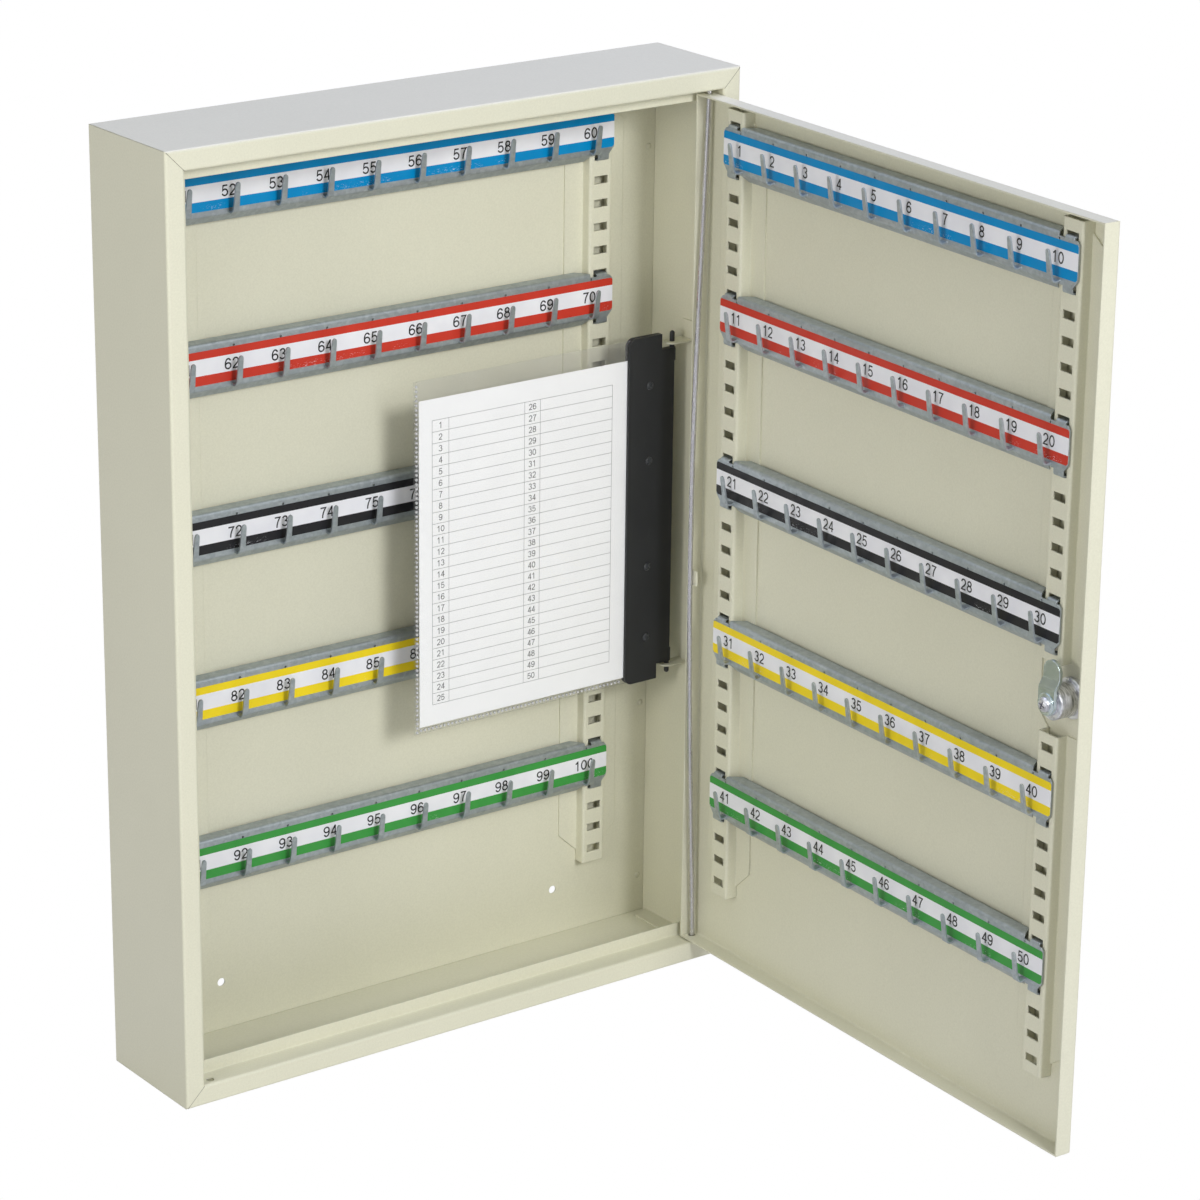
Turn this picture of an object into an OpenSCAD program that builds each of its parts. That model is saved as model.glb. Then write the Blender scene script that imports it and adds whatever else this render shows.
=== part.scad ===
// Wall-mounted steel key cabinet: folded body, inset door on a sprung hinge rod,
// slotted rails with ten hook bars, cam lock and a swinging index pocket.

/* [Cabinet] */
// Outside width
cab_w = 380; // [370:1:420]
// Outside height
cab_h = 550; // [545:1:600]
// Outside depth
cab_d = 80; // [76:1:120]
// Sheet thickness of the body and door
sheet_t = 1; // [0.8:0.1:1.2]
// Width of the front frame face
frame_w = 12; // [10:0.5:14]
// How far back the stop lip stands from the frame face
lip_y = 14; // [14:0.5:18]
// Height of the stop lip
lip_h = 8; // [6:0.5:10]
// Width of the rear flanges that meet the wall
rear_flange = 16; // [12:1:20]
// Horizontal distance between the wall fixing holes
fix_w = 238; // [200:1:260]
// Vertical distance between the wall fixing holes
fix_h = 488; // [440:1:490]
// Radius of the wall fixing holes
fix_r = 2.5; // [2:0.1:3]

/* [Door] */
// Angle at which the door stands open
door_open = 88; // [0:1:98]
// Gap between door and frame on the hinge side
gap_hinge = 1.8; // [1.6:0.1:2]
// Gap on the free side
gap_free = 1.5; // [1:0.1:2]
// Gap under the door
gap_bottom = 1; // [0.8:0.1:2]
// Gap over the door
gap_top = 2.5; // [1.5:0.1:3]
// Depth of the door pan
door_d = 11; // [10:0.5:11]
// Outside bend radius of the door
door_bend = 2; // [1.5:0.1:2.5]
// Hinge axis, distance from the hinge edge of the door
piv_u = 4.6; // [4.4:0.1:4.8]
// Hinge axis, distance behind the outer face of the door
piv_v = 5.3; // [5.1:0.1:5.5]
// Radius of the hinge rod
rod_r = 1.5; // [1.3:0.05:1.5]
// Radial clearance of the rod in the frame holes
rod_clear = 0.05; // [0.02:0.01:0.1]
// How far the middle of the hinge rod bows out
rod_bow = 6.8; // [5:0.1:6.8]

/* [Rails] */
// Length of a slotted rail
rail_len = 480; // [479:1:482]
// Width of the slotted face
rail_face = 16; // [15:0.5:17]
// Height of the slotted face over the panel
rail_high = 8; // [7:0.5:8.5]
// Width of each spot-welded flange
rail_flange = 13; // [10:0.5:13]
// Distance of each rail from the middle of the key bars
rail_off = 145.5; // [145:0.1:146]
// Distance from one slot to the next
slot_pitch = 14; // [13.9:0.05:14.1]
// Slot width
slot_w = 9.6; // [9:0.1:10]
// Slot height
slot_h = 4.6; // [4.4:0.1:5]

/* [Key bars] */
// Length of a key bar
bar_len = 306; // [306:1:310]
// Distance from one hook to the next
hook_pitch = 30.6; // [30:0.1:31]
// Number of hooks on a bar
hooks = 10; // [6:1:10]
// Height of the colour label
label_h = 19.5; // [18:0.5:20]
// How far a hook tip stands out from the panel
hook_out = 17.6; // [16:0.1:18]

/* [Lock] */
// Lock axis, distance from the hinge edge
lock_u = 336.5; // [336:0.5:338]
// Lock axis, height over the cabinet bottom
lock_z = 273.5; // [273:0.5:274]
// Radius of the lock body
lock_r = 9.4; // [9:0.1:9.5]
// Length of the cam from the lock axis
cam_len = 24; // [22:0.5:25]

/* [Index holder] */
// Hinge axis, distance in from the right side
pin_in = 13.2; // [13:0.1:14]
// Hinge axis, distance behind the front
pin_y = 42.5; // [42:0.5:43]
// Angle that the page stands at, towards the front
page_turn = 0; // [-2:0.5:4]

/* [Hidden] */

t = sheet_t;
back_y = cab_d - t - 0.8;                 // inner surface of the back panel
door_x = cab_w - frame_w - gap_hinge;     // hinge edge of the closed door
door_w = door_x - frame_w - gap_free;
door_z0 = frame_w + gap_bottom;
door_z1 = cab_h - frame_w - gap_top;
piv_x = door_x - piv_u;
bar_mid_cab = cab_w / 2 - 1.5;
bar_mid_door = 180.6;
rail_z_cab = 47;
rail_z_door = 52;
slot_first = 9;                           // first slot from the rail's lower end
slots = 34;
bar_slot = [32, 25, 18, 11, 4];           // middle slot of each bar, top to bottom
pin_x = cab_w - pin_in;
index_mid = (172.5 + 386.5) / 2;
cream = [0.88, 0.88, 0.80];
zinc = [0.72, 0.74, 0.76];
label_col = [[0, 0.43, 0.72], [0.8, 0.2, 0.16], [0.16, 0.16, 0.17], [0.97, 0.87, 0.16], [0.3, 0.64, 0.3]];
wafer_v = [3.6, 6.2, 8.8, 11.4];
wafer_up = [1, -1, 1, -1];

// ---- folded sheet: a centre line turned into a strip with rounded bends ----
function unit(a) = a / norm(a);
function perp(a) = [-a[1], a[0]];
function turn(a, q) = [a[0] * cos(q) - a[1] * sin(q), a[0] * sin(q) + a[1] * cos(q)];
function bend(p0, p1, p2, r, n) =
    let (d0 = unit(p1 - p0), d1 = unit(p2 - p1),
         q = atan2(d0[0] * d1[1] - d0[1] * d1[0], d0 * d1), s = sign(q),
         c = p1 - d0 * r * tan(abs(q) / 2) + perp(d0) * s * r)
    [for (i = [0:n]) let (m = turn(perp(d0), q * i / n)) [c - m * s * r, m]];
function line_pts(p, r, n) =
    let (e = len(p) - 1)
    concat([[p[0], perp(unit(p[1] - p[0]))]],
        [for (i = [1:1:e - 1]) each bend(p[i - 1], p[i], p[i + 1], r, n)],
        [[p[e], perp(unit(p[e] - p[e - 1]))]]);
module strip(p, th, r, n = 4) {
    q = line_pts(p, r, n);
    e = len(q) - 1;
    polygon(concat([for (i = [0:e]) q[i][0] + q[i][1] * th / 2],
        [for (i = [0:e]) q[e - i][0] - q[e - i][1] * th / 2]));
}
// (y, z) outline drawn out along X, centred
module along_x(len) { rotate([90, 0, 90]) linear_extrude(height = len, center = true) children(); }
// (x, z) outline drawn out along Y, from y0 to y1
module along_y(y0, y1) { translate([0, y1, 0]) rotate([90, 0, 0]) linear_extrude(height = y1 - y0) children(); }

// ---- placing ----
// the rear face of the back panel lies at y = 0, with the fixing holes centred on the origin
module row() { translate([-cab_w / 2, t - cab_d, -cab_h / 2]) children(); }
module on_door() {
    row() translate([piv_x, piv_v, 0]) rotate([0, 0, door_open]) translate([-piv_x, -piv_v, 0])
        translate([door_x, 0, 0]) mirror([1, 0, 0]) children();
}
module on_back() { row() translate([0, back_y, 0]) mirror([0, 1, 0]) children(); }
module on_page() {
    row() translate([pin_x, pin_y, 0]) rotate([0, 0, page_turn]) translate([-pin_x, -pin_y, 0]) children();
}
module at_lock() { on_door() translate([lock_u, 0, lock_z]) children(); }
module tube_v(r, v0, v1) { translate([0, v0, 0]) rotate([-90, 0, 0]) cylinder(r = r, h = v1 - v0, $fn = 64); }

// ---- body ----
// section of one wall: stop lip, ledge, frame face, wall, rear flange
module wall_section() {
    strip([[frame_w + lip_h, lip_y + t / 2], [frame_w - t / 2, lip_y + t / 2], [frame_w - t / 2, t / 2],
        [t / 2, t / 2], [t / 2, cab_d - t / 2], [rear_flange, cab_d - t / 2]], t, 1.1);
}
module upright() {
    m = frame_w + lip_h + 1;
    intersection() {
        linear_extrude(height = cab_h) wall_section();
        along_y(-1, cab_d + 1) polygon([[0, 0], [m, m], [m, cab_h - m], [0, cab_h]]);
    }
    for (z = [t, cab_h - 2 * t]) translate([0, 0, z]) linear_extrude(height = t)
        polygon([[t / 2, 17], [frame_w, 27], [frame_w, 71], [t / 2, 76]]);
}
module crosswise() {
    m = frame_w + lip_h + 1;
    intersection() {
        // section (z, y) drawn out along X
        translate([cab_w, 0, 0]) rotate([0, -90, 0]) linear_extrude(height = cab_w) wall_section();
        along_y(-1, cab_d + 1) polygon([[0, 0], [cab_w, 0], [cab_w - m, m], [m, m]]);
    }
}
module rod_holes() {
    translate([piv_x, piv_v, frame_w - 3 * t]) cylinder(r = rod_r + rod_clear, h = 6 * t, $fn = 48);
    translate([cab_w - piv_x, piv_v, frame_w - 3 * t]) cylinder(r = 2.3, h = 6 * t, $fn = 48);
}
module left_side() { color(cream) row() upright(); }
module right_side() { color(cream) row() translate([cab_w, 0, 0]) mirror([1, 0, 0]) upright(); }
module bottom_panel() { color(cream) row() difference() { crosswise(); rod_holes(); } }
module top_panel() {
    color(cream) row() translate([0, 0, cab_h]) mirror([0, 0, 1]) difference() { crosswise(); rod_holes(); }
}
module back_panel() {
    color(cream) row() difference() {
        // the edges are eased to sit in the bend of the rear flanges
        hull() {
            translate([t + 0.05, back_y, t + 0.05]) cube([cab_w - 2 * t - 0.1, 0.1, cab_h - 2 * t - 0.1]);
            translate([t + 0.65, back_y, t + 0.65]) cube([cab_w - 2 * t - 1.3, 0.8, cab_h - 2 * t - 1.3]);
        }
        for (x = [-1, 1], z = [-1, 1])
            translate([cab_w / 2 + x * fix_w / 2, back_y - 1, cab_h / 2 + z * fix_h / 2])
                rotate([-90, 0, 0]) cylinder(r = fix_r, h = 4, $fn = 48);
    }
}

// ---- slotted rail: u across, n out of the panel, z up ----
module rail(fl, fr) {
    h = rail_face / 2;
    intersection() {
        difference() {
            linear_extrude(height = rail_len)
                strip([[-h - fl, t / 2], [-h + t / 2, t / 2], [-h + t / 2, rail_high - t / 2],
                    [h - t / 2, rail_high - t / 2], [h - t / 2, t / 2], [h + fr, t / 2]], t, 1);
            for (k = [0:slots - 1]) translate([-slot_w / 2, rail_high - 2 * t, slot_first + k * slot_pitch - slot_h / 2])
                cube([slot_w, 3 * t, slot_h]);
        }
        along_y(-1, rail_high + 1) polygon([[-h, 0], [h, 0], [h, 7], [h + fr, 19], [h + fr, rail_len - 19],
            [h, rail_len - 7], [h, rail_len], [-h, rail_len], [-h, rail_len - 7], [-h - fl, rail_len - 19],
            [-h - fl, 19], [-h, 7]]);
    }
}
module cabinet_rail_left() { color(cream) on_back() translate([bar_mid_cab - rail_off, 0, rail_z_cab]) rail(rail_flange, rail_flange); }
module cabinet_rail_right() { color(cream) on_back() translate([bar_mid_cab + rail_off, 0, rail_z_cab]) rail(rail_flange, rail_flange); }
module door_rail_hinge_side() {
    color(cream) on_door() translate([bar_mid_door - rail_off, t, rail_z_door]) rail(rail_flange, rail_flange);
}
module door_rail_lock_side() {
    color(cream) on_door() difference() {
        translate([bar_mid_door + rail_off, t, rail_z_door]) rail(rail_flange, 16.5);
        // cleared round the lock
        along_y(0, rail_high + 3) polygon([[311, 258], [318, 251], [354, 251], [354, 292], [311, 292]]);
    }
}

// ---- key bar: u along, n out of the panel, z up from the middle of its slots ----
hook_n = 14.6;
module key_hook() {
    intersection() {
        along_x(6) strip([[9.4, -10.3], [hook_n, -11.2], [hook_out, 7.2]], t, 2);
        along_y(8, 20) polygon([[-2.6, -13], [2.6, -13], [2.5, -11.2], [1.9, -8.6], [1.4, 5.2], [1.1, 6.2],
            [0.5, 6.8], [-0.5, 6.8], [-1.1, 6.2], [-1.4, 5.2], [-1.9, -8.6], [-2.5, -11.2]]);
    }
}
module lugs() {
    for (s = [-1, 1]) translate([s * 145.7, 0, 0]) {
        along_x(7.4) strip([[9.5, 11], [9.5, 13.9], [3.6, 13.9]], t, 1);
        along_x(7.4) strip([[9.5, -11], [9.5, -15.8], [4.5, -15.8], [4.5, -19.6]], t, 1);
    }
}
module key_bar() {
    e = bar_len / 2;
    difference() {
        union() {
            intersection() {
                along_x(274) strip([[1.6, 14.5], [9.5, 14.5], [9.5, -11.8], [5.3, -16]], t, 1.2);
                translate([0, 0, -20]) linear_extrude(height = 40)
                    polygon([[-137, 11], [137, 11], [137, 9.2], [130, 0], [-130, 0], [-137, 9.2]]);
            }
            along_y(9, 10) polygon([[-e, -8.6], [-149.6, -12.4], [-136, -12.4], [-136, -11], [136, -11], [136, -12.4],
                [149.6, -12.4], [e, -8.6], [e, 10.6], [e - 1.8, 12.6], [136, 12.6], [136, 12], [-136, 12],
                [-136, 12.6], [1.8 - e, 12.6], [-e, 10.6]]);
            lugs();
            for (i = [0:hooks - 1]) translate([(i - (hooks - 1) / 2) * hook_pitch, 0, 0]) key_hook();
        }
        for (i = [0:hooks - 1]) translate([(i - (hooks - 1) / 2) * hook_pitch, 0, 11.4])
            tube_v(0.65, 8.5, 10.5);
    }
}
module key_label() {
    e = bar_len / 2;
    b = 1 - label_h / 2;
    along_y(10, 10.15) polygon([[-e, b + 1.2], [1.4 - e, b], [e - 1.4, b], [e, b + 1.2], [e, label_h / 2],
        [e - 1, 1 + label_h / 2], [1 - e, 1 + label_h / 2], [-e, label_h / 2]]);
}
module cab_bar_at(i) { on_back() translate([bar_mid_cab, 0, rail_z_cab + slot_first + bar_slot[i] * slot_pitch]) children(); }
module door_bar_at(i) { on_door() translate([bar_mid_door, t, rail_z_door + slot_first + bar_slot[i] * slot_pitch]) children(); }
module cabinet_bar(i) { color(zinc) cab_bar_at(i) key_bar(); }
module cabinet_label(i) { color(label_col[i]) cab_bar_at(i) key_label(); }
module door_bar(i) { color(zinc) door_bar_at(i) key_bar(); }
module door_label(i) { color(label_col[i]) door_bar_at(i) key_label(); }

// ---- door ----
function pan_outline(w, d, e, r) = concat(
    [[e, d + 0.01], [e, e + r]],
    [for (i = [1:5]) [e + r - r * cos(i * 15), e + r - r * sin(i * 15)]],
    [[e + r, e], [w - e - r, e]],
    [for (i = [1:5]) [w - e - r + r * sin(i * 15), e + r - r * cos(i * 15)]],
    [[w - e, e + r], [w - e, d + 0.01]]);
module pan(e, r, d) {
    h = door_z1 - door_z0;
    intersection() {
        translate([0, 0, door_z0]) linear_extrude(height = h) polygon(pan_outline(door_w, d, e, r));
        translate([door_w, 0, door_z0]) rotate([0, -90, 0]) linear_extrude(height = door_w) polygon(pan_outline(h, d, e, r));
    }
}
module door_panel() {
    color(cream) on_door() difference() {
        union() {
            difference() {
                intersection() {
                    pan(0, door_bend, door_d);
                    cube([door_w, door_d, cab_h]);
                }
                pan(t, door_bend - t, door_d + 1);
            }
            // tongue turned in from the hinge flange, which keeps the rod bowed
            translate([t / 2, 0, 241]) linear_extrude(height = 9) polygon([[0, 10.4 - t], [8.2, 10.4 - t],
                [8.7, 10.4 - t / 2], [8.2, 10.4], [0, 10.4]]);
        }
        translate([piv_u, piv_v, door_z0 - 1]) cylinder(r = 2.2, h = 4, $fn = 48);
        translate([piv_u, piv_v, door_z1 - 3]) cylinder(r = 2.2, h = 4, $fn = 48);
        translate([lock_u, 0, lock_z]) tube_v(lock_r + 0.1, -1, 3);
    }
}
// the rod between its two straight ends bows by rod_bow in one smooth curve; rings of points swept along it
rod_sides = 20;
rod_rings = 36;
function rod_at(k) = let (q = k / (rod_rings - 1)) [q, rod_bow * pow(sin(180 * q), 1.15)];
module bowed_rod(z0, z1) {
    polyhedron(
        points = [for (k = [0:rod_rings - 1], i = [0:rod_sides - 1]) let (c = rod_at(k), a = (i + 0.5) * 360 / rod_sides)
            [(rod_r - 0.01) * cos(a), c[1] + (rod_r - 0.01) * sin(a), z0 + (z1 - z0) * c[0]]],
        faces = concat([[for (i = [0:rod_sides - 1]) i]],
            [for (k = [0:rod_rings - 2], i = [0:rod_sides - 1]) let (a = k * rod_sides + i, b = k * rod_sides + (i + 1) % rod_sides)
                [a, a + rod_sides, b + rod_sides, b]],
            [[for (i = [0:rod_sides - 1]) rod_rings * rod_sides - 1 - i]]));
}
module hinge_rod() {
    z0 = door_z0 + 3;
    z1 = door_z1 - 3;
    color(zinc) on_door() {
        translate([piv_u, piv_v, frame_w - 4.2]) cylinder(r = rod_r, h = z0 - frame_w + 4.2 + 0.5, $fn = 48);
        translate([piv_u, piv_v, z1 - 0.5]) cylinder(r = rod_r, h = cab_h - frame_w + 4.2 - z1 + 0.5, $fn = 48);
        translate([piv_u, piv_v, 0]) bowed_rod(z0, z1);
    }
}
// ---- lock: axis along v, out of the panel ----
module lock_housing() {
    color(zinc) at_lock() difference() {
        union() {
            translate([0, -2.4, 0]) rotate([-90, 0, 0]) rotate_extrude($fn = 64)
                polygon([[0, 0], [10.6, 0], [11.5, 0.9], [11.5, 2.4], [0, 2.4]]);
            translate([0, -1, 0]) rotate([-90, 0, 0]) rotate_extrude($fn = 64)
                polygon([[0, 0], [lock_r, 0], [lock_r, 17.7], [lock_r - 0.6, 18.3], [0, 18.3]]);
        }
        tube_v(6.55, -3, 19);
        translate([-3.1, 2.4, -7.9]) cube([6.2, 10.9, 15.8]);
    }
}
module lock_nut() {
    color(zinc) at_lock() difference() {
        translate([0, t, 0]) rotate([-90, 0, 0]) rotate_extrude($fn = 64)
            polygon([[lock_r - 1, 0], [11.4, 0], [11.4, 2.7], [10.9, 3.2], [lock_r - 1, 3.2]]);
        tube_v(lock_r, 0, 6);
        for (q = [0, 90]) rotate([0, q, 0]) translate([-12, 3.2, -1]) cube([24, 2, 2]);
    }
}
module wafer_pose(i) { translate([0, wafer_v[i], 0]) if (wafer_up[i] > 0) children(); else rotate([0, 180, 0]) children(); }
module lock_plug() {
    color(zinc) at_lock() difference() {
        union() {
            tube_v(6.5, -1.9, 18.3);
            translate([-4, 18, -4]) cube([8, 2.3, 8]);
        }
        translate([-1.1, -3, -4.2]) cube([2.2, 16.5, 8.4]);
        tube_v(2, 14.2, 21);
        for (i = [0:3]) wafer_pose(i) {
            translate([-2.9, -0.5, -7]) cube([5.8, 1, 14]);
            translate([2, -0.5, -1.1]) cube([2.9, 1, 2.6]);
            translate([3.9, 0, -4.3]) cylinder(r = 0.65, h = 4, $fn = 24);
        }
    }
}
module wafer(i) {
    color([0.85, 0.7, 0.35]) at_lock() wafer_pose(i) difference() {
        union() {
            translate([-2.8, -0.4, -5.7]) cube([5.6, 0.8, 11.4]);
            translate([2, -0.4, -1]) cube([2.7, 0.8, 1.6]);
        }
        translate([-1.5, -1, -3.4]) cube([3, 2, 7.4 - 0.5 * i]);
    }
}
module wafer_spring(i) {
    color(zinc) at_lock() wafer_pose(i) difference() {
        translate([3.9, 0, -4.3]) cylinder(r = 0.55, h = 3.3, $fn = 24);
        translate([3.9, 0, -5]) cylinder(r = 0.3, h = 5, $fn = 24);
    }
}
module lock_cam() {
    color(zinc) at_lock() difference() {
        intersection() {
            along_x(13) strip([[19.3, -6.5], [19.3, 8.5], [16.3, 13.5], [16.3, 26]], 2, 1.6);
            along_y(14, 22) union() {
                circle(r = 6.5, $fn = 64);
                translate([-6.5, 0]) square([13, cam_len - 6.5]);
                translate([0, cam_len - 6.5]) circle(r = 6.5, $fn = 64);
            }
        }
        translate([-4, 17, -4]) cube([8, 5, 8]);
    }
}
module cam_washer() {
    color(zinc) at_lock() difference() {
        translate([0, 20.3, 0]) rotate([-90, 0, 0]) rotate_extrude($fn = 64)
            polygon([[0, 0], [6.1, 0], [6.3, 0.25], [6.1, 0.55], [4.4, 0.75], [0, 0.75]]);
        tube_v(2.2, 20, 21.5);
    }
}
module cam_screw() {
    color(zinc) at_lock() difference() {
        union() {
            tube_v(2, 14.6, 21.3);
            translate([0, 21.05, 0]) rotate([-90, 0, 0]) rotate_extrude($fn = 64)
                polygon([[0, 0], [4.1, 0], [4.2, 0.5], [3.9, 1.2], [3.2, 1.9], [2.2, 2.3], [0, 2.4]]);
        }
        for (q = [0, 90]) rotate([0, q + 20, 0]) translate([-2.4, 21.9, -0.5]) cube([4.8, 2.5, 1]);
    }
}

// ---- index holder ----
strip_x0 = pin_x - 32.8;
module rounded(x0, z0, x1, z1, r) {
    polygon([for (c = [[x1 - r, z1 - r, 0], [x0 + r, z1 - r, 90], [x0 + r, z0 + r, 180], [x1 - r, z0 + r, 270]],
        i = [0:6]) [c[0] + r * cos(c[2] + i * 15), c[1] + r * sin(c[2] + i * 15)]]);
}
module index_strip() {
    color([0.17, 0.18, 0.19]) on_page() difference() {
        union() {
            along_y(pin_y - 2, pin_y + 2) difference() {
                rounded(strip_x0, 171, pin_x + 0.5, 386, 5);
                translate([pin_x - 8.8, 376.5]) square([12, 12]);
                translate([pin_x - 9.2, 168.3]) square([12, 12]);
            }
            for (z = [180.3, 368.6]) translate([pin_x, pin_y, z]) cylinder(r = 2.2, h = 7.9, $fn = 48);
        }
        for (z = [180, 368]) translate([pin_x, pin_y, z]) cylinder(r = 1.5, h = 9, $fn = 48);
        translate([strip_x0 - 1, pin_y - 0.4, 165]) cube([19.5, 0.8, 230]);
        for (z = [198.9, 243.6, 309.7, 355.9]) translate([strip_x0 + 15.5, pin_y, z])
            rotate([-90, 0, 0]) cylinder(r = 1.5, h = 10, center = true, $fn = 48);
    }
}
module index_rivets() {
    color([0.2, 0.2, 0.2]) on_page() for (z = [198.9, 243.6, 309.7, 355.9]) translate([strip_x0 + 15.5, pin_y, z])
        rotate([-90, 0, 0]) {
            cylinder(r = 1.5, h = 4.6, center = true, $fn = 48);
            for (s = [0, 1]) mirror([0, 0, s]) translate([0, 0, 2]) rotate_extrude($fn = 48)
                polygon([[0, 0], [2.5, 0], [2.2, 0.45], [1.4, 0.75], [0, 0.85]]);
        }
}
module index_pins() {
    color([0.17, 0.18, 0.19]) on_page() for (s = [0, 1])
        translate([pin_x, pin_y, s * (2 * index_mid)]) mirror([0, 0, s]) {
            translate([0, 0, 174]) cylinder(r = 1.5, h = 15, $fn = 48);
            translate([0, 0, 174]) sphere(r = 1.5, $fn = 48);
        }
}
module index_pocket() {
    color([0.9, 0.92, 0.95, 0.4]) on_page() difference() {
        translate([183.2 + pin_x - 366.8, pin_y - 0.4, 171.9]) cube([168.8, 0.8, 213.1]);
        translate([185.6 + pin_x - 366.8, pin_y - 0.15, 174.4]) cube([158.9, 0.3, 215]);
        for (z = [198.9, 243.6, 309.7, 355.9]) translate([strip_x0 + 15.5, pin_y, z])
            rotate([-90, 0, 0]) cylinder(r = 1.5, h = 10, center = true, $fn = 48);
    }
}
module index_sheet() {
    color([0.97, 0.97, 0.97]) on_page() translate([186.9 + pin_x - 366.8, pin_y - 0.1, 175.6]) cube([157.2, 0.2, 197.5]);
}
module index_bracket(z, s) {
    color(cream) row() difference() {
        union() {
            translate([0, 0, z]) linear_extrude(height = 1) union() {
                translate([pin_x, pin_y - 5]) square([cab_w - t - pin_x, 10]);
                translate([pin_x, pin_y]) circle(r = 5, $fn = 48);
            }
            translate([cab_w - t - 1, pin_y - 5, s > 0 ? z : z - 11]) cube([1, 10, 12]);
        }
        translate([pin_x, pin_y, z - 1]) cylinder(r = 1.55, h = 3, $fn = 48);
    }
}
module index_bracket_upper() { index_bracket(379.2, 1); }
module index_bracket_lower() { index_bracket(177.6, -1); }

left_side();
right_side();
top_panel();
bottom_panel();
back_panel();
cabinet_rail_left();
cabinet_rail_right();
cabinet_bar(0);  // cabinet_bar_1
cabinet_bar(1);  // cabinet_bar_2
cabinet_bar(2);  // cabinet_bar_3
cabinet_bar(3);  // cabinet_bar_4
cabinet_bar(4);  // cabinet_bar_5
cabinet_label(0);  // cabinet_label_1
cabinet_label(1);  // cabinet_label_2
cabinet_label(2);  // cabinet_label_3
cabinet_label(3);  // cabinet_label_4
cabinet_label(4);  // cabinet_label_5
index_bracket_upper();
index_bracket_lower();
index_strip();
index_rivets();
index_pins();
index_pocket();
index_sheet();
door_panel();
door_rail_hinge_side();
door_rail_lock_side();
hinge_rod();
door_bar(0);  // door_bar_1
door_bar(1);  // door_bar_2
door_bar(2);  // door_bar_3
door_bar(3);  // door_bar_4
door_bar(4);  // door_bar_5
door_label(0);  // door_label_1
door_label(1);  // door_label_2
door_label(2);  // door_label_3
door_label(3);  // door_label_4
door_label(4);  // door_label_5
lock_housing();
lock_nut();
lock_plug();
lock_cam();
cam_washer();
cam_screw();
wafer(0);  // wafer_1
wafer(1);  // wafer_2
wafer(2);  // wafer_3
wafer(3);  // wafer_4
wafer_spring(0);  // wafer_spring_1
wafer_spring(1);  // wafer_spring_2
wafer_spring(2);  // wafer_spring_3
wafer_spring(3);  // wafer_spring_4
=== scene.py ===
import math
import bmesh
import bpy
from mathutils import Matrix, Vector


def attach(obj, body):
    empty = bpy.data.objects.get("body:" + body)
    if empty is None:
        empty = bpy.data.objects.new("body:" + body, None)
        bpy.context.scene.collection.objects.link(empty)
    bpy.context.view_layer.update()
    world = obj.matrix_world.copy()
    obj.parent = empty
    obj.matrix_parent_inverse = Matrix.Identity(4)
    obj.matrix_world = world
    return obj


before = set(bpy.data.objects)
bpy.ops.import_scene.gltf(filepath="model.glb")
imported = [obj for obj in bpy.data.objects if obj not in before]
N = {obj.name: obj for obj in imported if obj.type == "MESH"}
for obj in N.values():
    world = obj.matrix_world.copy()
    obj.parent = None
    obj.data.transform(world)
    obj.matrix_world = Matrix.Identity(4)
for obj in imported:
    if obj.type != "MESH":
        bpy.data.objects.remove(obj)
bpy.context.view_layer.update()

scene = bpy.context.scene
MM = 0.001

# ------------------------------------------------------------------ places
# cabinet coordinates: x from the left side, y from the front face, z from the bottom, all in mm
CAB_W, REAR, CAB_H = 380.0, 79.0, 550.0
T = 1.0
BACK_Y = 78.2
DOOR_X, PIV_X, PIV_Y, OPEN = 366.2, 361.6, 5.3, math.radians(88)
BAR_CAB, BAR_DOOR = 188.5, 180.6
BAR_Z_CAB = [56 + 14 * k for k in (32, 25, 18, 11, 4)]
BAR_Z_DOOR = [61 + 14 * k for k in (32, 25, 18, 11, 4)]
PITCH = 30.6
PIN_X, PIN_Y = 366.8, 42.5


def cab(x, y, z):
    return Vector(((x - CAB_W / 2) * MM, (y - REAR) * MM, (z - CAB_H / 2) * MM))


def door(u, v, z):
    dx, dy = DOOR_X - u - PIV_X, v - PIV_Y
    c, s = math.cos(OPEN), math.sin(OPEN)
    return cab(PIV_X + dx * c - dy * s, PIV_Y + dx * s + dy * c, z)


DOOR_U = Vector((-math.cos(OPEN), -math.sin(OPEN), 0))
DOOR_N = Vector((-math.sin(OPEN), math.cos(OPEN), 0))
UP = Vector((0, 0, 1))

# ------------------------------------------------------------------ materials


def srgb(r, g, b):
    def f(c):
        c /= 255.0
        return c / 12.92 if c <= 0.04045 else ((c + 0.055) / 1.055) ** 2.4
    return (f(r), f(g), f(b), 1.0)


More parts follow.
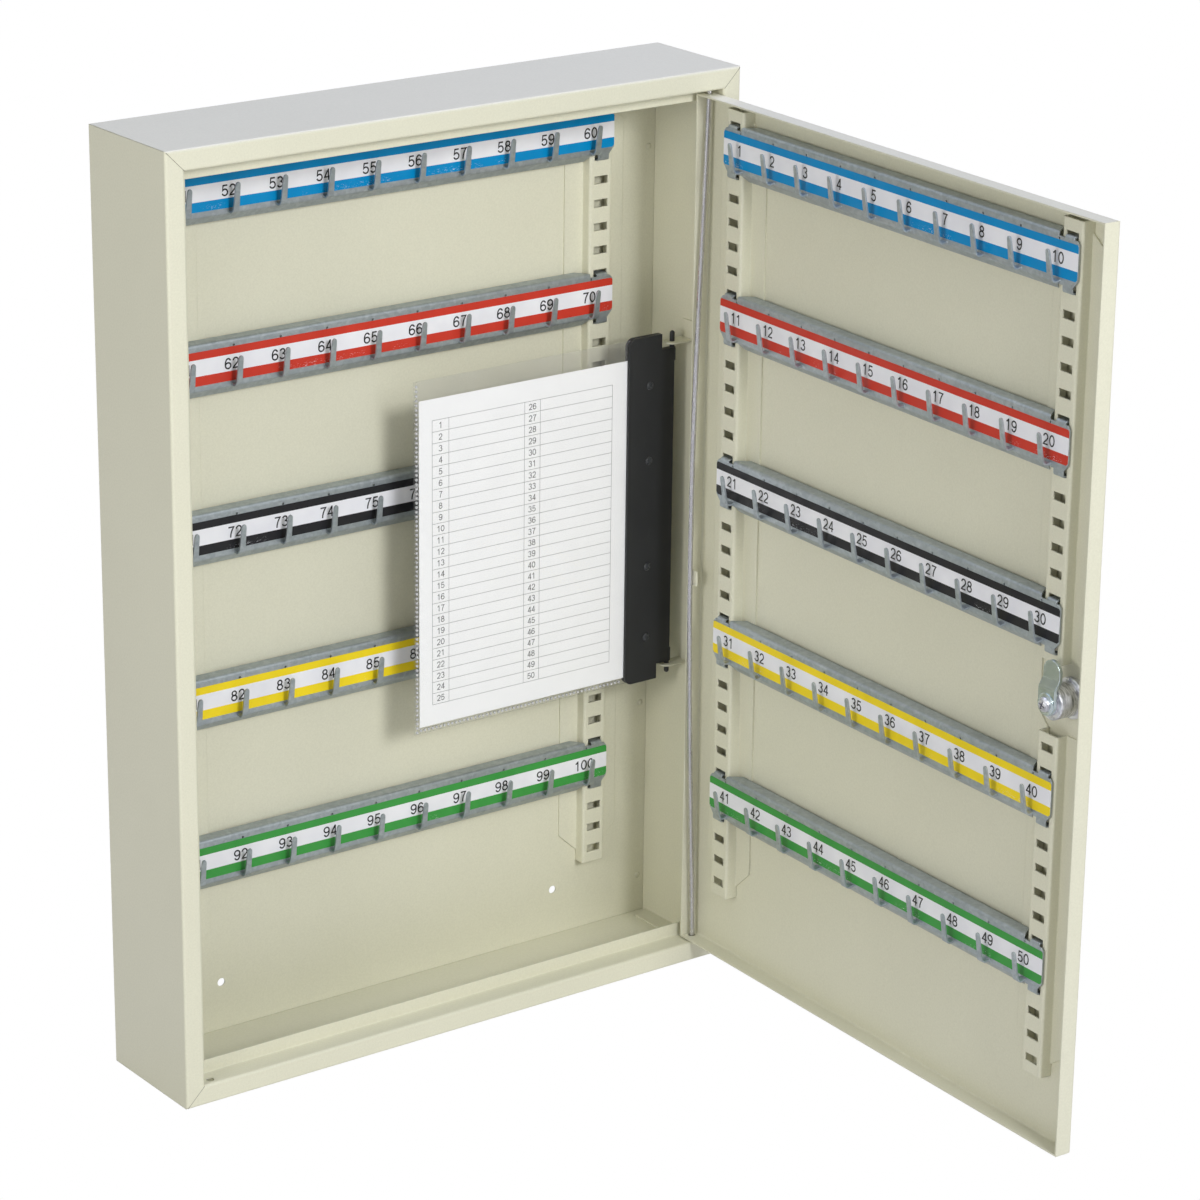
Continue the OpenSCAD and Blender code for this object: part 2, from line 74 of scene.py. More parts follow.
class Mat:
    """A small helper round one material's node tree."""

    def __init__(self, name):
        self.m = bpy.data.materials.new(name)
        self.m.use_nodes = True
        self.t = self.m.node_tree
        self.t.nodes.clear()
        self.out = self.add("ShaderNodeOutputMaterial")
        self.coord = self.add("ShaderNodeTexCoord")

    def add(self, kind, **kw):
        n = self.t.nodes.new(kind)
        for k, v in kw.items():
            setattr(n, k, v)
        return n

    def link(self, a, b):
        self.t.links.new(a, b)

    def set(self, node, **kw):
        for k, v in kw.items():
            node.inputs[k.replace("_", " ")].default_value = v

    def noise(self, scale, detail=2.0, rough=0.5, stretch=None, kind="ShaderNodeTexNoise"):
        src = self.coord.outputs["Object"]
        if stretch:
            mp = self.add("ShaderNodeMapping")
            mp.inputs["Scale"].default_value = stretch
            self.link(src, mp.inputs["Vector"])
            src = mp.outputs["Vector"]
        n = self.add(kind)
        self.link(src, n.inputs["Vector"])
        n.inputs["Scale"].default_value = scale
        if kind == "ShaderNodeTexNoise":
            n.inputs["Detail"].default_value = detail
            n.inputs["Roughness"].default_value = rough
        return n

    def ramp(self, src, stops, interp="LINEAR"):
        r = self.add("ShaderNodeValToRGB")
        r.color_ramp.interpolation = interp
        el = r.color_ramp.elements
        el[0].position, el[0].color = stops[0]
        el[1].position, el[1].color = stops[-1]
        for p, c in stops[1:-1]:
            e = el.new(p)
            e.color = c
        self.link(src, r.inputs["Fac"])
        return r.outputs["Color"]

    def mix(self, fac, a, b, blend="MIX"):
        x = self.add("ShaderNodeMix", data_type="RGBA", blend_type=blend)
        for k, v in ((0, fac), (6, a), (7, b)):
            if hasattr(v, "links"):
                self.link(v, x.inputs[k])
            else:
                x.inputs[k].default_value = v
        return x.outputs[2]

    def maths(self, op, a, b=0.0, c=0.0):
        x = self.add("ShaderNodeMath", operation=op)
        for k, v in enumerate((a, b, c)):
            if hasattr(v, "links"):
                self.link(v, x.inputs[k])
            else:
                x.inputs[k].default_value = v
        return x.outputs[0]

    def bump(self, height, strength, distance, normal=None):
        b = self.add("ShaderNodeBump")
        b.inputs["Strength"].default_value = strength
        b.inputs["Distance"].default_value = distance
        self.link(height, b.inputs["Height"])
        if normal is not None:
            self.link(normal, b.inputs["Normal"])
        return b.outputs["Normal"]

    def bevel(self, radius, samples=4):
        b = self.add("ShaderNodeBevel", samples=samples)
        b.inputs["Radius"].default_value = radius
        return b.outputs["Normal"]

    def principled(self, color=None, rough=None, metal=0.0, normal=None, **kw):
        p = self.add("ShaderNodeBsdfPrincipled")
        for k, v in (("Base Color", color), ("Roughness", rough), ("Metallic", metal), ("Normal", normal)):
            if v is None:
                continue
            if hasattr(v, "links"):
                self.link(v, p.inputs[k])
            else:
                p.inputs[k].default_value = v
        for k, v in kw.items():
            p.inputs[k.replace("_", " ")].default_value = v
        self.link(p.outputs[0], self.out.inputs["Surface"])
        return p


def powder_coat():
    """Fine-textured cream powder coat: slight orange peel, faint mottling, and a touch of grime in soft patches."""
    m = Mat("cream_powder_coat")
    big = m.noise(7, 4, 0.6)
    fine = m.noise(900, 3, 0.6)
    orange = m.noise(420, 2, 0.5)
    base = m.mix(m.ramp(big.outputs["Fac"], [(0.35, (0, 0, 0, 1)), (0.7, (1, 1, 1, 1))]), srgb(226, 224, 203), srgb(222, 220, 199))
    speck = m.ramp(fine.outputs["Fac"], [(0.3, (0.93, 0.93, 0.92, 1)), (0.7, (1, 1, 1, 1))])
    base = m.mix(1.0, base, speck, "MULTIPLY")
    rough = m.maths("MULTIPLY_ADD", fine.outputs["Fac"], 0.14, 0.36)
    n = m.bevel(0.0006)
    n = m.bump(orange.outputs["Fac"], 0.3, 0.00022, n)
    n = m.bump(fine.outputs["Fac"], 0.15, 0.00008, n)
    m.principled(base, rough, 0.0, n, Specular_IOR_Level=0.5)
    return m.m


def galvanised():
    """Galvanised sheet: fine mottle with a faint lengthwise grain, dull and blue-grey."""
    m = Mat("galvanised_sheet")
    cell = m.noise(420, kind="ShaderNodeTexVoronoi")
    grain = m.noise(260, 5, 0.7, (1, 1, 1.6))
    cloud = m.noise(22, 3, 0.6)
    grey = m.add("ShaderNodeRGBToBW")
    m.link(m.mix(0.75, cell.outputs["Color"], grain.outputs["Color"]), grey.inputs[0])
    tone = m.mix(0.28, grey.outputs[0], cloud.outputs["Fac"])
    col = m.ramp(tone, [(0.28, srgb(148, 156, 162)), (0.5, srgb(170, 178, 183)), (0.72, srgb(194, 201, 205))])
    rough = m.maths("MULTIPLY_ADD", grain.outputs["Fac"], 0.25, 0.3)
    n = m.bevel(0.0004)
    n = m.bump(grain.outputs["Fac"], 0.16, 0.00012, n)
    m.principled(col, rough, 0.72, n)
    return m.m


def label(name, rgb, z_mid):
    """A printed film label: a white band between two colour bands, with small chips along the lower one."""
    m = Mat("label_" + name)
    sep = m.add("ShaderNodeSeparateXYZ")
    m.link(m.coord.outputs["Object"], sep.inputs[0])
    lo = (z_mid + 1 - 9.75 - CAB_H / 2) * MM
    f = m.add("ShaderNodeMapRange")
    m.link(sep.outputs["Z"], f.inputs["Value"])
    f.inputs["From Min"].default_value = lo
    f.inputs["From Max"].default_value = lo + 19.5 * MM
    white = srgb(243, 243, 247)
    c = srgb(*rgb)
    band = m.ramp(f.outputs["Result"], [(0.0, c), (0.283, white), (0.772, c)], "CONSTANT")
    # chips: streaks inside the lower band, in patches
    streak = m.noise(1500, 3, 0.7, (0.35, 0.35, 1.6))
    patch = m.noise(26, 2, 0.5)
    low = m.ramp(f.outputs["Result"], [(0.0, (0, 0, 0, 1)), (0.05, (1, 1, 1, 1)), (0.2, (0, 0, 0, 1))])
    chip = m.ramp(streak.outputs["Fac"], [(0.6, (0, 0, 0, 1)), (0.64, (1, 1, 1, 1))])
    area = m.ramp(patch.outputs["Fac"], [(0.56, (0, 0, 0, 1)), (0.62, (1, 1, 1, 1))])
    mask = m.maths("MULTIPLY", m.maths("MULTIPLY", chip, area), low)
    band = m.mix(mask, band, white)
    mottle = m.noise(45, 3)
    dim = m.ramp(mottle.outputs["Fac"], [(0.3, (0.9, 0.9, 0.92, 1)), (0.7, (1, 1, 1, 1))])
    col = m.mix(1.0, band, dim, "MULTIPLY")
    crease = m.noise(110, 2)
    n = m.bump(crease.outputs["Fac"], 0.14, 0.0005)
    rough = m.maths("MULTIPLY_ADD", mottle.outputs["Fac"], 0.2, 0.24)
    m.principled(col, rough, 0.0, n, Coat_Weight=0.03, Coat_Roughness=0.15, Specular_IOR_Level=0.2)
    return m.m


def ink(name, grey):
    m = Mat(name)
    n = m.noise(800, 2)
    col = m.ramp(n.outputs["Fac"], [(0.2, srgb(grey, grey, grey + 2)), (0.9, srgb(grey + 14, grey + 14, grey + 16))])
    m.principled(col, 0.45)
    return m.m


def black_plastic():
    m = Mat("black_plastic")
    grain = m.noise(1200, 2)
    cloud = m.noise(25, 4, 0.6)
    scratch = m.noise(70, 6, 0.7, (6, 6, 0.7))
    base = m.mix(cloud.outputs["Fac"], srgb(33, 34, 36), srgb(44, 45, 47))
    marks = m.ramp(scratch.outputs["Fac"], [(0.62, (0, 0, 0, 1)), (0.72, (1, 1, 1, 1))])
    base = m.mix(m.maths("MULTIPLY", marks, 0.12), base, srgb(90, 93, 96))
    rough = m.maths("MULTIPLY_ADD", cloud.outputs["Fac"], 0.25, 0.36)
    n = m.bevel(0.0007)
    n = m.bump(grain.outputs["Fac"], 0.15, 0.00006, n)
    m.principled(base, rough, 0.0, n)
    return m.m


def rivet_black():
    """Moulded rivet heads: the strip's plastic, a little greyer and glossier; the grey, mottled over the whole head,
    is painted highlight standing in for the sheen the small domes catch.
    """
    m = Mat("rivet_black")
    rub_and_sheen = m.noise(900, 3, 0.6)
    # painted highlight: the heads are lifted from the strip's black to grey so the small domes read as lit; the same
    # noise also varies roughness and bump
    base = m.mix(rub_and_sheen.outputs["Fac"], srgb(42, 44, 46), srgb(68, 70, 73))
    n = m.bevel(0.0005)
    n = m.bump(rub_and_sheen.outputs["Fac"], 0.12, 0.00008, n)
    m.principled(base, m.maths("MULTIPLY_ADD", rub_and_sheen.outputs["Fac"], 0.18, 0.2), 0.0, n)
    return m.m


def chrome():
    m = Mat("lock_chrome")
    haze = m.noise(120, 4, 0.6)
    turned = m.noise(340, 4, 0.65, (2.4, 0.5, 0.5))
    col = m.ramp(haze.outputs["Fac"], [(0.2, srgb(222, 222, 228)), (0.8, srgb(246, 246, 250))])
    dark = m.ramp(turned.outputs["Fac"], [(0.36, (0.42, 0.42, 0.44, 1)), (0.56, (1, 1, 1, 1))])
    col = m.mix(1.0, col, dark, "MULTIPLY")
    rough = m.maths("MULTIPLY_ADD", turned.outputs["Fac"], 0.36, 0.2)
    n = m.bevel(0.0004, 6)
    n = m.bump(turned.outputs["Fac"], 0.4, 0.0005, n)
    n = m.bump(haze.outputs["Fac"], 0.06, 0.0003, n)
    m.principled(col, rough, 1.0, n)
    return m.m


def zinc(name, a, b, rough0, stretch, edge=0.0003):
    m = Mat(name)
    line = m.noise(260, 4, 0.6, stretch)
    cloud = m.noise(70, 3)
    col = m.mix(line.outputs["Fac"], srgb(*a), srgb(*b))
    col = m.mix(m.maths("MULTIPLY", cloud.outputs["Fac"], 0.3), col, srgb(168, 168, 172))
    rough = m.maths("MULTIPLY_ADD", line.outputs["Fac"], 0.2, rough0)
    n = m.bevel(edge, 6)
    n = m.bump(line.outputs["Fac"], 0.15, 0.00015, n)
    m.principled(col, rough, 1.0, n)
    return m.m


def film():
    """Thin clear film: see-through, a faint cloudiness and a gloss that grows at a glancing angle."""
    m = Mat("clear_film")
    clear = m.add("ShaderNodeBsdfTransparent")
    clear.inputs["Color"].default_value = (0.985, 0.985, 0.985, 1)
    haze = m.add("ShaderNodeBsdfDiffuse")
    haze.inputs["Color"].default_value = (0.93, 0.93, 0.94, 1)
    gloss = m.add("ShaderNodeBsdfGlossy")
    gloss.inputs["Roughness"].default_value = 0.1
    wave = m.noise(14, 2)
    nrm = m.bump(wave.outputs["Fac"], 0.15, 0.004)
    m.link(nrm, gloss.inputs["Normal"])
    fr = m.add("ShaderNodeFresnel")
    fr.inputs["IOR"].default_value = 1.28
    body = m.add("ShaderNodeMixShader")
    cloud = m.noise(35, 3)
    m.link(m.maths("MULTIPLY_ADD", cloud.outputs["Fac"], 0.03, 0.01), body.inputs[0])
    m.link(clear.outputs[0], body.inputs[1])
    m.link(haze.outputs[0], body.inputs[2])
    top = m.add("ShaderNodeMixShader")
    m.link(m.maths("MULTIPLY", fr.outputs[0], 0.36), top.inputs[0])
    m.link(body.outputs[0], top.inputs[1])
    m.link(gloss.outputs[0], top.inputs[2])
    m.link(top.outputs[0], m.out.inputs["Surface"])
    return m.m


def paper():
    m = Mat("index_paper")
    fibre = m.noise(1500, 3, 0.6)
    cloud = m.noise(30, 2)
    col = m.ramp(fibre.outputs["Fac"], [(0.2, srgb(251, 251, 252)), (0.8, srgb(255, 255, 255))])
    col = m.mix(m.maths("MULTIPLY", cloud.outputs["Fac"], 0.05), col, srgb(244, 244, 246))
    n = m.bump(fibre.outputs["Fac"], 0.1, 0.00003)
    p = m.principled(col, 0.8, 0.0, n)
    return m.m


def brass():
    m = Mat("wafer_brass")
    c = m.noise(200, 3)
    col = m.mix(c.outputs["Fac"], srgb(196, 164, 88), srgb(214, 186, 112))
    m.principled(col, 0.3, 1.0)
    return m.m


M = {
    "cream": powder_coat(), "galv": galvanised(), "black": black_plastic(), "rivet": rivet_black(), "chrome": chrome(),
    "rod": zinc("rod_bright_zinc", (196, 194, 200), (216, 214, 218), 0.16, (3, 3, 0.4)),
    "cam": zinc("cam_zinc", (196, 210, 213), (224, 236, 238), 0.1, (1, 1, 3), 0.0006),
    "film": film(), "paper": paper(), "brass": brass(),
    "spring": zinc("spring_wire", (180, 180, 184), (200, 200, 204), 0.25, (1, 1, 8)),
    "ink": ink("label_ink", 14), "ink_soft": ink("table_ink", 30), "ink_line": ink("table_line", 118),
}


def finish(node, mat):
    o = N[node]
    o.data.materials.clear()
    o.data.materials.append(mat)


CREAM = ["left_side", "right_side", "top_panel", "bottom_panel", "back_panel", "cabinet_rail_left", "cabinet_rail_right",
         "index_bracket_upper", "index_bracket_lower", "door_panel", "door_rail_hinge_side", "door_rail_lock_side"]
for n in CREAM:
    finish(n, M["cream"])
LABELS = [("blue", (0, 142, 204)), ("red", (208, 62, 46)), ("black", (40, 40, 43)), ("yellow", (250, 222, 38)), ("green", (66, 158, 72))]
for i, (name, rgb) in enumerate(LABELS):
    finish("cabinet_bar_%d" % (i + 1), M["galv"])
    finish("door_bar_%d" % (i + 1), M["galv"])
    finish("cabinet_label_%d" % (i + 1), label(name + "_cabinet", rgb, BAR_Z_CAB[i]))
    finish("door_label_%d" % (i + 1), label(name + "_door", rgb, BAR_Z_DOOR[i]))
finish("hinge_rod", M["rod"])
for n in ("lock_housing", "lock_nut", "lock_plug", "cam_screw"):
    finish(n, M["chrome"])
for n in ("lock_cam", "cam_washer"):
    finish(n, M["cam"])
for n in ("index_strip", "index_pins"):
    finish(n, M["black"])
finish("index_rivets", M["rivet"])
finish("index_pocket", M["film"])
finish("index_sheet", M["paper"])
for i in range(1, 5):
    finish("wafer_%d" % i, M["brass"])
    finish("wafer_spring_%d" % i, M["spring"])

# ------------------------------------------------------------------ pieces


def piece(name, verts, faces, mat, body, smooth=False):
    me = bpy.data.meshes.new(name)
    me.from_pydata([tuple(v) for v in verts], [], faces)
    me.validate()
    bm = bmesh.new()
    bm.from_mesh(me)
    bmesh.ops.recalc_face_normals(bm, faces=bm.faces)
    bm.to_mesh(me)
    bm.free()
    for p in me.polygons:
        p.use_smooth = smooth
    me.materials.append(mat)
    o = bpy.data.objects.new(name, me)
    scene.collection.objects.link(o)
    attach(o, body)
    return o


class Build:
    """Collects many small closed solids into one mesh."""

    def __init__(self):
        self.v, self.f = [], []

    def add(self, verts, faces):
        k = len(self.v)
        self.v += verts
        self.f += [tuple(i + k for i in f) for f in faces]

    def slab(self, o, ex, ey, en, w, h, d):
        """A thin plate: corner o, sides w along ex and h along ey, thickness d along en."""
        a = [o, o + ex * w, o + ex * w + ey * h, o + ey * h]
        self.add(a + [p + en * d for p in a],
                 [(3, 2, 1, 0), (4, 5, 6, 7), (0, 1, 5, 4), (1, 2, 6, 5), (2, 3, 7, 6), (3, 0, 4, 7)])

    def dome(self, c, ex, ey, en, r, h, seg=16, rings=4):
        """A shallow dome on a flat face, closed underneath."""
        v = []
        for i in range(rings):
            q = math.pi / 2 * i / rings
            for j in range(seg):
                w = 2 * math.pi * j / seg
                v.append(c + (ex * math.cos(w) + ey * math.sin(w)) * r * math.cos(q) + en * h * math.sin(q))
        v.append(c + en * h)
        f = [tuple(range(seg - 1, -1, -1))]
        for i in range(rings - 1):
            for j in range(seg):
                k = (j + 1) % seg
                f.append((i * seg + j, i * seg + k, (i + 1) * seg + k, (i + 1) * seg + j))
        top = len(v) - 1
        for j in range(seg):
            f.append(((rings - 1) * seg + j, (rings - 1) * seg + (j + 1) % seg, top))
        self.add(v, f)


# digits drawn as strokes of even width, in a box 1 high and 0.667 wide
def arc(cx, cy, rx, ry, a0, a1, n):
    return [(cx + rx * math.cos(math.radians(a0 + (a1 - a0) * i / n)), cy + ry * math.sin(math.radians(a0 + (a1 - a0) * i / n)))
            for i in range(n + 1)]


def ring(cx, cy, rx, ry, n=26):
    return ("closed", arc(cx, cy, rx, ry, 0, 360, n)[:-1])


def line(*pts):
    return ("open", list(pts))


SIX = [("open", arc(0.345, 0.70, 0.235, 0.24, 12, 90, 6) + arc(0.345, 0.47, 0.28, 0.47, 96, 180, 9) + [(0.066, 0.33)]),
       ring(0.337, 0.315, 0.268, 0.255)]
STROKES = {
    "0": [ring(0.333, 0.5, 0.27, 0.44)],
    "1": [line((0.40, 0.0), (0.40, 0.99)), line((0.375, 0.93), (0.29, 0.82), (0.14, 0.735))],
    "2": [line(*(arc(0.335, 0.69, 0.25, 0.25, 176, -28, 14) + [(0.48, 0.46), (0.33, 0.33), (0.17, 0.19), (0.085, 0.06), (0.615, 0.06)]))],
    "3": [line(*arc(0.325, 0.735, 0.225, 0.205, 163, -78, 14)), line(*arc(0.325, 0.295, 0.265, 0.235, 92, -164, 16))],
    "4": [line((0.48, 0.0), (0.48, 1.0)), line((0.455, 0.93), (0.085, 0.29), (0.66, 0.29))],
    "5": [line(*([(0.59, 0.94), (0.17, 0.94), (0.105, 0.49)] + arc(0.33, 0.335, 0.27, 0.275, 128, -162, 16)))],
    "6": SIX,
    "7": [line((0.06, 0.94), (0.605, 0.94), (0.47, 0.74), (0.365, 0.52), (0.295, 0.27), (0.265, 0.0))],
    "8": [ring(0.335, 0.735, 0.215, 0.205, 22), ring(0.335, 0.295, 0.265, 0.237)],
    "9": [(k, [(0.667 - x, 1.0 - y) for x, y in p]) for k, p in SIX],
}


def ribbon(kind, pts, half):
    """Left and right edge of a stroke, mitred at its corners."""
    n = len(pts)
    left, right = [], []
    for i, (x, y) in enumerate(pts):
        if kind == "closed":
            a, b = pts[i - 1], pts[(i + 1) % n]
        else:
            a, b = pts[max(i - 1, 0)], pts[min(i + 1, n - 1)]
        d0 = Vector((x - a[0], y - a[1]))
        d1 = Vector((b[0] - x, b[1] - y))
        d0 = d0.normalized() if d0.length > 1e-9 else d1.normalized()
        d1 = d1.normalized() if d1.length > 1e-9 else d0
        t = (d0 + d1).normalized()
        w = half / max(0.55, t.dot(d0))
        left.append((x - t.y * w, y + t.x * w))
        right.append((x + t.y * w, y - t.x * w))
    return left, right


def number(b, text, c, ex, ey, en, h, weight=0.115, step=0.777, lift=0.03, sink=0.02):
    """Lays a number centred on c, as thin plates; h is the digit height in metres, lift and sink are in mm."""
    total = step * h * (len(text) - 1)
    for i, ch in enumerate(text):
        o = c + ex * (-total / 2 + i * step * h - 0.3335 * h) - ey * (h / 2)
        for kind, pts in STROKES[ch]:
            left, right = ribbon(kind, pts, weight / 2)
            n = len(pts)
            v = []
            for z in (-sink * MM, lift * MM):
                for edge in (left, right):
                    v += [o + ex * (x * h) + ey * (y * h) + en * z for x, y in edge]
            # rows: 0 low left, 1 low right, 2 high left, 3 high right
            f = []
            last = n if kind == "closed" else n - 1
            for k in range(last):
                q = (k + 1) % n
                f += [(2 * n + k, 2 * n + q, 3 * n + q, 3 * n + k), (k, n + k, n + q, q),
                      (k, q, 2 * n + q, 2 * n + k), (n + k, 3 * n + k, 3 * n + q, n + q)]
            if kind == "open":
                f += [(0, 2 * n, 3 * n, n), (n - 1, 2 * n - 1, 4 * n - 1, 3 * n - 1)]
            b.add(v, f)


for i in range(5):
    b = Build()
    for k in range(10):
        c = cab(BAR_CAB + (k - 4.5) * PITCH - 1.6, BACK_Y - 10.15, BAR_Z_CAB[i] + 1.2)
        number(b, str(51 + 10 * i + k), c, Vector((1, 0, 0)), UP, Vector((0, -1, 0)), 6.4 * MM, 0.135)
    piece("cabinet_numbers_%d" % (i + 1), b.v, b.f, M["ink"], "cabinet")
    b = Build()
    for k in range(10):
        c = door(BAR_DOOR + (k - 4.5) * PITCH - 0.3, T + 10.15, BAR_Z_DOOR[i] + 1.5)
        number(b, str(1 + 10 * i + k), c, DOOR_U, UP, DOOR_N, 6.4 * MM, 0.135)
    piece("door_numbers_%d" % (i + 1), b.v, b.f, M["ink"], "door")

# printed table on the index sheet
lines, nums = Build(), Build()
ex, en = Vector((1, 0, 0)), Vector((0, -1, 0))
TX = [196.0, 207.5, 260.5, 271.6, 323.4]
TZ0, TZ1, ROWS = 188.0, 360.3, 25
face_y = PIN_Y - 0.1
rowh = (TZ1 - TZ0) / ROWS
for x in TX:
    lines.slab(cab(x - 0.12, face_y, TZ0), ex, UP, en, 0.24 * MM, (TZ1 - TZ0) * MM, 0.02 * MM)
for r in range(ROWS + 1):
    lines.slab(cab(TX[0], face_y - 0.005, TZ0 + r * rowh - 0.12), ex, UP, en, (TX[-1] - TX[0]) * MM, 0.24 * MM, 0.02 * MM)
for r in range(ROWS):
    z = TZ1 - (r + 0.5) * rowh
    number(nums, str(r + 1), cab((TX[0] + TX[1]) / 2, face_y, z), ex, UP, en, 3.75 * MM, 0.115, 0.74, 0.02, 0.0)
    number(nums, str(r + 26), cab((TX[2] + TX[3]) / 2, face_y, z), ex, UP, en, 3.75 * MM, 0.115, 0.74, 0.02, 0.0)
piece("index_table_lines", lines.v, lines.f, M["ink_line"], "index_page")
piece("index_table_numbers", nums.v, nums.f, M["ink_soft"], "index_page")

# welded seam of the pocket: two rows of small weld dots along the outer side and the bottom
seam = Build()
z = 173.0
while z < 384.5:
    for s in (-1, 1):
        seam.dome(cab(185.2, PIN_Y + s * 0.38, z), ex, UP, Vector((0, s, 0)), 0.85 * MM, 0.12 * MM, 12, 3)
    z += 2.75
x = 187.8
while x < 333:
    for s in (-1, 1):
        seam.dome(cab(x, PIN_Y + s * 0.38, 173.7), ex, UP, Vector((0, s, 0)), 0.85 * MM, 0.12 * MM, 12, 3)
    x += 2.75
sm = Mat("film_weld")
sn = sm.noise(600, 2)
sp = sm.principled(sm.ramp(sn.outputs["Fac"], [(0.2, srgb(226, 227, 230)), (0.8, srgb(240, 241, 243))]), 0.5, 0.0, None, Alpha=0.5)
piece("pocket_weld_dots", seam.v, seam.f, sm.m, "index_page", smooth=True)

# spot-weld dimples down both edges of the back panel, where it is fixed to the rear flanges
weld = Build()
for z in (25, 140, 257, 373, 489):
    for x in (5.6, 374.4):
        weld.dome(cab(x, BACK_Y, z), ex, UP, en, 2.0 * MM, 0.3 * MM, 20, 4)
piece("back_panel_welds", weld.v, weld.f, M["cream"], "cabinet", smooth=True)

# painted shade: thin dark strips laid along the hairline of the mitre joints in the front frame, standing in for the
# shade in the joints
seam_mat = Mat("mitre_shadow")
mn = seam_mat.noise(500, 2)
seam_mat.principled(seam_mat.ramp(mn.outputs["Fac"], [(0.2, srgb(112, 108, 92)), (0.8, srgb(140, 136, 118))]), 0.8)
mitre = Build()
for sx, sz in ((0, 0), (1, 0), (0, 1), (1, 1)):
    px = 0.6 if not sx else CAB_W - 0.6
    pz = 0.6 if not sz else CAB_H - 0.6
    dx, dz = (1 if not sx else -1), (1 if not sz else -1)
    d = Vector((dx, 0, dz)).normalized()
    w = Vector((-dz * 1.0, 0, dx)).normalized()
    length = 11.0 * math.sqrt(2) * MM
    mitre.slab(cab(px, -0.012, pz) - w * 0.00013, d, w, Vector((0, 1, 0)), length, 0.00026, 0.00003)
piece("mitre_joint_shade_lines", mitre.v, mitre.f, seam_mat.m, "cabinet")

# ------------------------------------------------------------------ stage, light, camera
fm = Mat("studio_floor")
fn = fm.noise(3, 2)
fm.principled(fm.ramp(fn.outputs["Fac"], [(0.2, (0.34, 0.34, 0.33, 1)), (0.8, (0.38, 0.38, 0.37, 1))]), 0.9,
              Emission_Color=(1, 1, 1, 1), Emission_Strength=0.36, Specular_IOR_Level=0.1)
# the sweep reads as plain white where it is seen, without lighting the cabinet from below that hard
f_seen = fm.add("ShaderNodeEmission")
f_path = fm.add("ShaderNodeLightPath")
f_mix = fm.add("ShaderNodeMixShader")
f_body = fm.out.inputs["Surface"].links[0].from_socket
fm.link(f_path.outputs["Is Camera Ray"], f_mix.inputs[0])
fm.link(f_body, f_mix.inputs[1])
fm.link(f_seen.outputs[0], f_mix.inputs[2])
fm.link(f_mix.outputs[0], fm.out.inputs["Surface"])
bpy.ops.mesh.primitive_plane_add(size=60, location=(0, 0, -CAB_H / 2 * MM - 0.0005))
floor = bpy.context.object
floor.name = "studio_floor"
floor.data.materials.append(fm.m)

# a soft room: brighter in front of the cabinet than behind it, cooler overhead; plain white where it is seen
world = bpy.data.worlds.new("studio")
scene.world = world
world.use_nodes = True
wt = world.node_tree
wt.nodes.clear()
w_out = wt.nodes.new("ShaderNodeOutputWorld")
w_xyz = wt.nodes.new("ShaderNodeSeparateXYZ")
w_co = wt.nodes.new("ShaderNodeTexCoord")
wt.links.new(w_co.outputs["Generated"], w_xyz.inputs[0])
w_fb = wt.nodes.new("ShaderNodeMapRange")
w_fb.inputs["From Min"].default_value, w_fb.inputs["From Max"].default_value = -0.6, 0.6
w_fb.inputs["To Min"].default_value, w_fb.inputs["To Max"].default_value = 0.42, 0.06
w_dot = wt.nodes.new("ShaderNodeVectorMath")
w_dot.operation = "DOT_PRODUCT"
w_dot.inputs[1].default_value = (-0.1, 0.995, 0)
wt.links.new(w_co.outputs["Generated"], w_dot.inputs[0])
wt.links.new(w_dot.outputs["Value"], w_fb.inputs["Value"])
w_up = wt.nodes.new("ShaderNodeValToRGB")
w_up.color_ramp.elements[0].position, w_up.color_ramp.elements[0].color = 0.25, (1, 0.99, 0.955, 1)
w_up.color_ramp.elements[1].position, w_up.color_ramp.elements[1].color = 0.95, (0.9, 1.0, 1.12, 1)
wt.links.new(w_xyz.outputs["Z"], w_up.inputs["Fac"])
w_light = wt.nodes.new("ShaderNodeBackground")
wt.links.new(w_up.outputs["Color"], w_light.inputs["Color"])
wt.links.new(w_fb.outputs["Result"], w_light.inputs["Strength"])
w_seen = wt.nodes.new("ShaderNodeBackground")
w_seen.inputs["Color"].default_value = (1, 1, 1, 1)
w_seen.inputs["Strength"].default_value = 1.0
w_path = wt.nodes.new("ShaderNodeLightPath")
w_mix = wt.nodes.new("ShaderNodeMixShader")
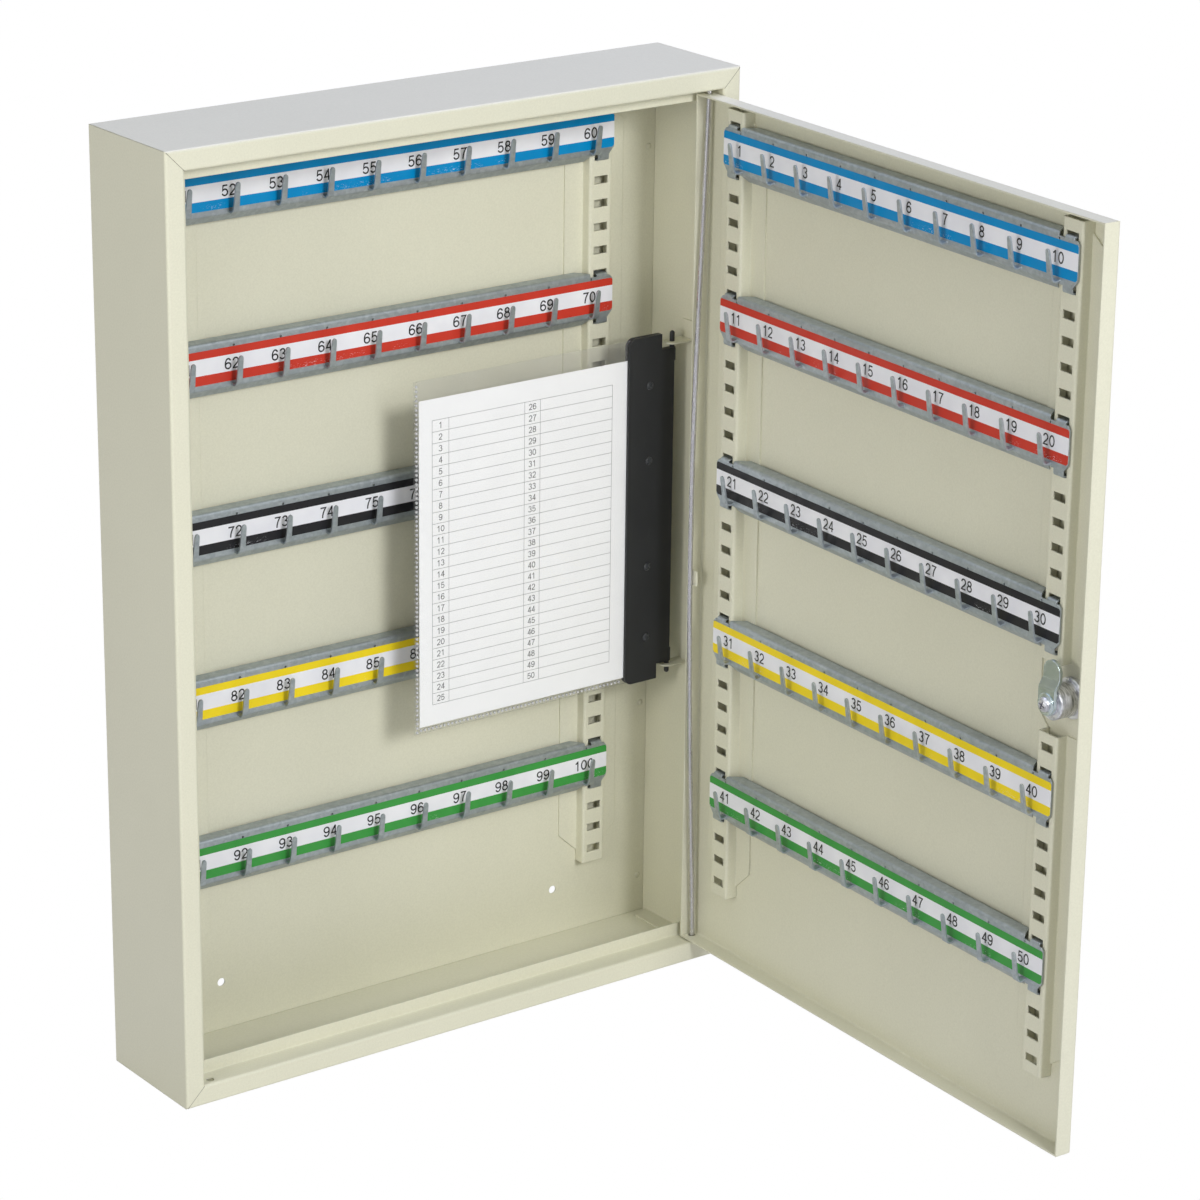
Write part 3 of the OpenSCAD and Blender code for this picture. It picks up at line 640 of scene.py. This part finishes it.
# reflections see pale softboxes all round, as metal does in a light tent
w_tent = wt.nodes.new("ShaderNodeBackground")
w_high = wt.nodes.new("ShaderNodeValToRGB")
w_high.color_ramp.elements[0].position, w_high.color_ramp.elements[0].color = 0.2, (0.34, 0.37, 0.38, 1)
w_high.color_ramp.elements[1].position, w_high.color_ramp.elements[1].color = 0.62, (0.80, 0.84, 0.86, 1)
wt.links.new(w_xyz.outputs["Z"], w_high.inputs["Fac"])
wt.links.new(w_high.outputs["Color"], w_tent.inputs["Color"])
w_gloss = wt.nodes.new("ShaderNodeMixShader")
wt.links.new(w_path.outputs["Is Glossy Ray"], w_gloss.inputs[0])
wt.links.new(w_light.outputs[0], w_gloss.inputs[1])
wt.links.new(w_tent.outputs[0], w_gloss.inputs[2])
wt.links.new(w_path.outputs["Is Camera Ray"], w_mix.inputs[0])
wt.links.new(w_gloss.outputs[0], w_mix.inputs[1])
wt.links.new(w_seen.outputs[0], w_mix.inputs[2])
wt.links.new(w_mix.outputs[0], w_out.inputs["Surface"])


def area(name, loc, target, size, power, color=(1, 1, 1)):
    li = bpy.data.lights.new(name, "AREA")
    li.shape = "RECTANGLE"
    li.size, li.size_y = size
    li.energy = power
    li.color = color
    ob = bpy.data.objects.new(name, li)
    ob.location = loc
    ob.rotation_euler = (Vector(target) - Vector(loc)).to_track_quat("-Z", "Y").to_euler()
    scene.collection.objects.link(ob)
    return ob


area("key", (-0.04, -2.4, 1.1), (0, 0, 0), (0.62, 0.6), 33, (0.985, 0.99, 1.0))
area("left", (-1.7, -0.62, 0.48), (0.15, -0.1, -0.05), (0.5, 0.5), 9.3, (1.0, 0.985, 0.945))
area("overhead", (0.5, 0.35, 1.9), (0, 0, 0), (1.4, 1.2), 24.5, (0.64, 0.655, 0.98))

cam_data = bpy.data.cameras.new("camera")
cam = bpy.data.objects.new("camera", cam_data)
scene.collection.objects.link(cam)
az, el, ro = math.radians(-36.301), math.radians(19.511), math.radians(0.584)
look = Vector((-math.sin(az) * math.cos(el), math.cos(az) * math.cos(el), -math.sin(el)))
right = Vector((math.cos(az), math.sin(az), 0))
up = right.cross(look)
right, up = right * math.cos(ro) + up * math.sin(ro), up * math.cos(ro) - right * math.sin(ro)
rot = Matrix((right, up, -look)).transposed().to_4x4()
cam.matrix_world = Matrix.Translation(cab(-1086.6, -1842.4, 1055.0)) @ rot
cam_data.sensor_width = 36.0
cam_data.lens = 4196.9 * 36.0 / 1200.0
cam_data.shift_x, cam_data.shift_y = 0.0207, 0.0079
cam_data.clip_start, cam_data.clip_end = 0.05, 50
cam_data.dof.use_dof = False
scene.camera = cam

scene.view_settings.view_transform = "Standard"
scene.view_settings.look = "None"
